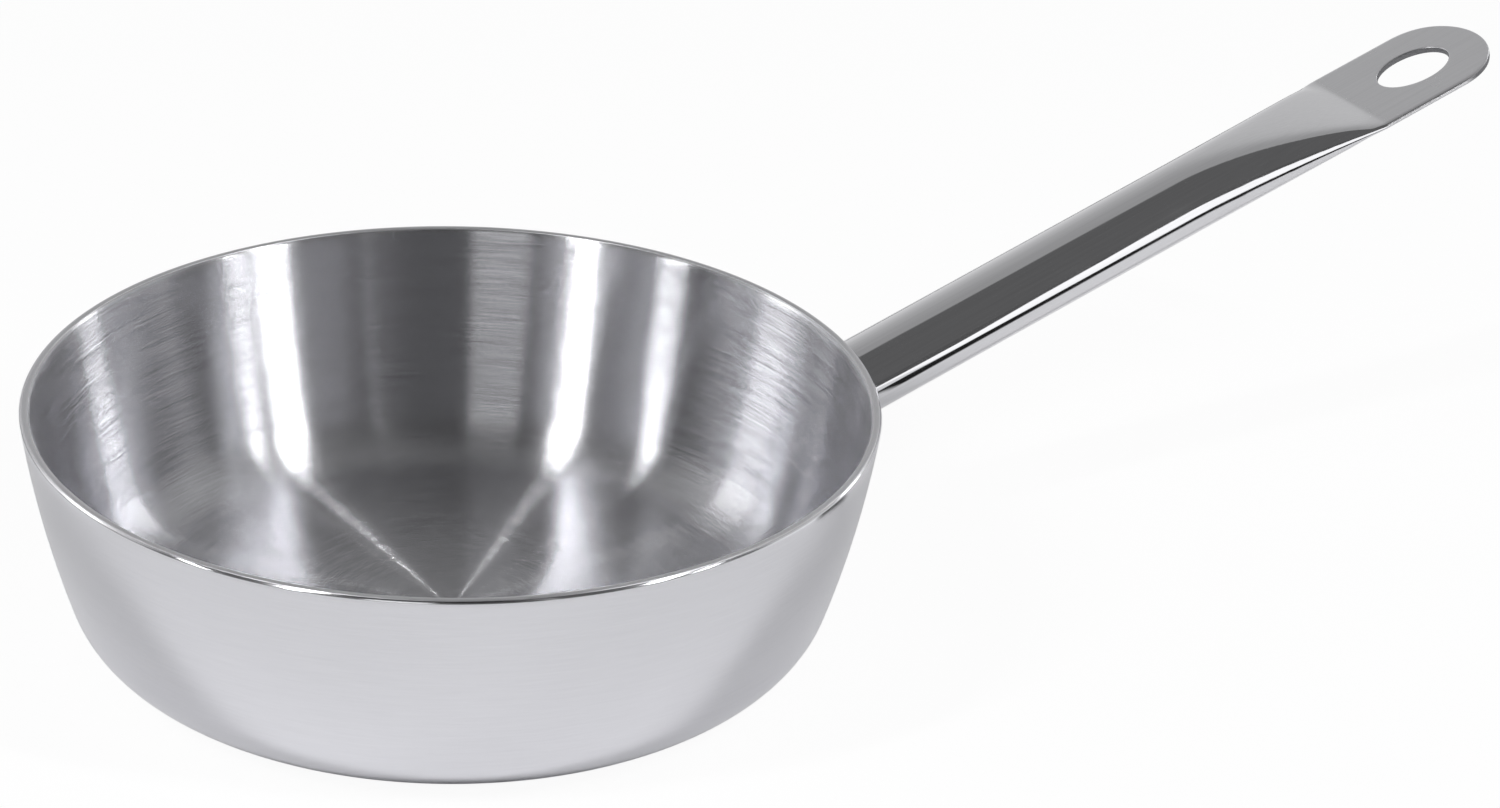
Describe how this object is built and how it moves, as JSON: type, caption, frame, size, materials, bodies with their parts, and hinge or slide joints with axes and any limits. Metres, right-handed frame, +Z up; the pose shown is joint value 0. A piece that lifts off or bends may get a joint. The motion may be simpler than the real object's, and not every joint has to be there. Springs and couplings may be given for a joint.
{
  "type": "saute pan",
  "caption": "Flared stainless steel saute pan with a rounded bottom corner and a rising tube handle, welded on and pressed flat into a hanging eye.",
  "frame": {"origin": "centre of the flat base, on the pan's axis, on the plane that the pan stands on", "axes": "+Z up along the pan's axis, +X from the axis towards the handle's tip"},
  "size_m": [0.4047, 0.2048, 0.1059],
  "materials": {
    "outside_steel": "fine satin",
    "core_aluminium": "ground edge",
    "inside_steel": "spun brushed, lines round the axis",
    "handle_steel": "mirror polished, eye left satin",
    "weld_steel": "as welded, brushed over"
  },
  "bodies": {
    "root": {"outer_ply": "outside_steel", "core_ply": "core_aluminium", "inner_ply": "inside_steel", "handle_tube": "handle_steel", "handle_weld": "weld_steel"}
  },
  "joints": []
}
